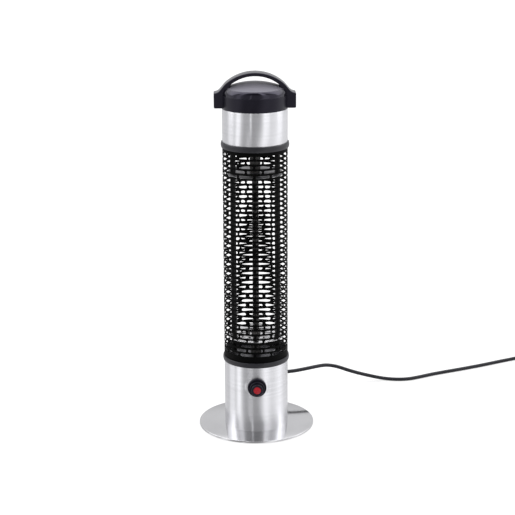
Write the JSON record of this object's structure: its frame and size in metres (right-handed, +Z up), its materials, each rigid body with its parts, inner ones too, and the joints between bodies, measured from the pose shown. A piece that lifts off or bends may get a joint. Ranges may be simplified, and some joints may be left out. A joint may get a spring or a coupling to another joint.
{
  "type": "outdoor heater",
  "caption": "Free-standing electric tower patio heater: round steel base, slotted guard around an upright lamp, steel housings, black cap with carrying handle, push switch and mains lead.",
  "frame": {"origin": "on the floor, on the tower's axis, under the feet", "axes": "+Z up along the tower, the push switch faces -Y, the carrying handle spans X and the cord leaves at +Y"},
  "size_m": [0.7707, 0.4482, 0.65],
  "materials": {
    "brushed_steel": "horizontally brushed stainless sheet",
    "base_steel": "fine polished stainless sheet",
    "zinc_steel": "zinc plated sheet",
    "ballast_iron": "dark coated steel plate",
    "trim_grey": "satin dark grey moulding",
    "guard_black": "matt black heat-resistant paint",
    "post_black": "black enamel",
    "reflector": "polished reflector",
    "disc_steel": "plain sheet",
    "quartz": "dark tinted quartz",
    "filament": "carbon filament",
    "ceramic": "unglazed ceramic",
    "cap_satin": "satin black moulding",
    "cap_gloss": "gloss black moulding",
    "handle_black": "satin black moulding",
    "switch_black": "black moulding",
    "lens_red": "translucent red",
    "rubber_black": "black rubber",
    "cord_black": "black rubber sheath",
    "terminal_white": "natural nylon",
    "sensor_black": "moulded housing",
    "lead_insulation": "silicone insulation",
    "brass": "brass",
    "nickel": "nickel plated",
    "screw_steel": "zinc plated",
    "pendulum_metal": "brass weight",
    "tie_black": "hook and loop strap"
  },
  "bodies": {
    "root": {"base_cover": "base_steel", "ballast_plate": "ballast_iron", "mounting_ring": "zinc_steel", "base_feet": "rubber_black", "base_screws": "screw_steel", "base_nuts": "screw_steel", "lower_housing": "brushed_steel", "upper_housing": "brushed_steel", "guard": "guard_black", "lower_trim_ring": "trim_grey", "upper_trim_ring": "trim_grey", "lower_bulkhead": "zinc_steel", "upper_bulkhead": "zinc_steel", "lower_reflector": "reflector", "upper_disc": "disc_steel", "support_posts": "post_black", "post_nuts": "screw_steel", "lamp_tube": "quartz", "lamp_filament": "filament", "lower_end_cap": "ceramic", "upper_end_cap": "ceramic", "lower_lamp_holder": "ceramic", "upper_lamp_holder": "ceramic", "cap_skirt": "cap_satin", "handle_screws": "screw_steel", "cap_shoulder": "cap_gloss", "cap_lid": "cap_gloss", "handle": "handle_black", "switch_bezel": "switch_black", "switch_gasket": "rubber_black", "button_spring": "screw_steel", "switch_nut": "switch_black", "contact_block": "sensor_black", "contact_blades": "brass", "chassis_plate": "zinc_steel", "chassis_screws": "screw_steel", "tilt_bracket": "zinc_steel", "tilt_pin": "screw_steel", "tilt_sensor": "sensor_black", "terminal_block": "terminal_white", "strain_relief": "rubber_black", "mains_cord": "cord_black", "cord_tail": "cord_black", "cord_coil": "cord_black", "coil_tie": "tie_black", "plug_body": "rubber_black", "plug_pins": "nickel", "plug_earth_clips": "nickel", "internal_leads": "lead_insulation"},
    "button": {"switch_button": "switch_black", "button_lens": "lens_red"},
    "pendulum": {"tilt_pendulum": "pendulum_metal"}
  },
  "joints": [
    {"name": "button_press", "type": "slide", "parent": "root", "child": "button", "axis": [0, 1, 0], "range_m": [0, 0.003], "stiffness_N_per_m": 500, "springref_m": -0.003, "deforming": ["button_spring"]},
    {"name": "pendulum_swing", "type": "hinge", "parent": "root", "child": "pendulum", "pos_m": [0, 0.034, 0.114], "axis": [0, 1, 0], "range_deg": [-30, 30]}
  ]
}
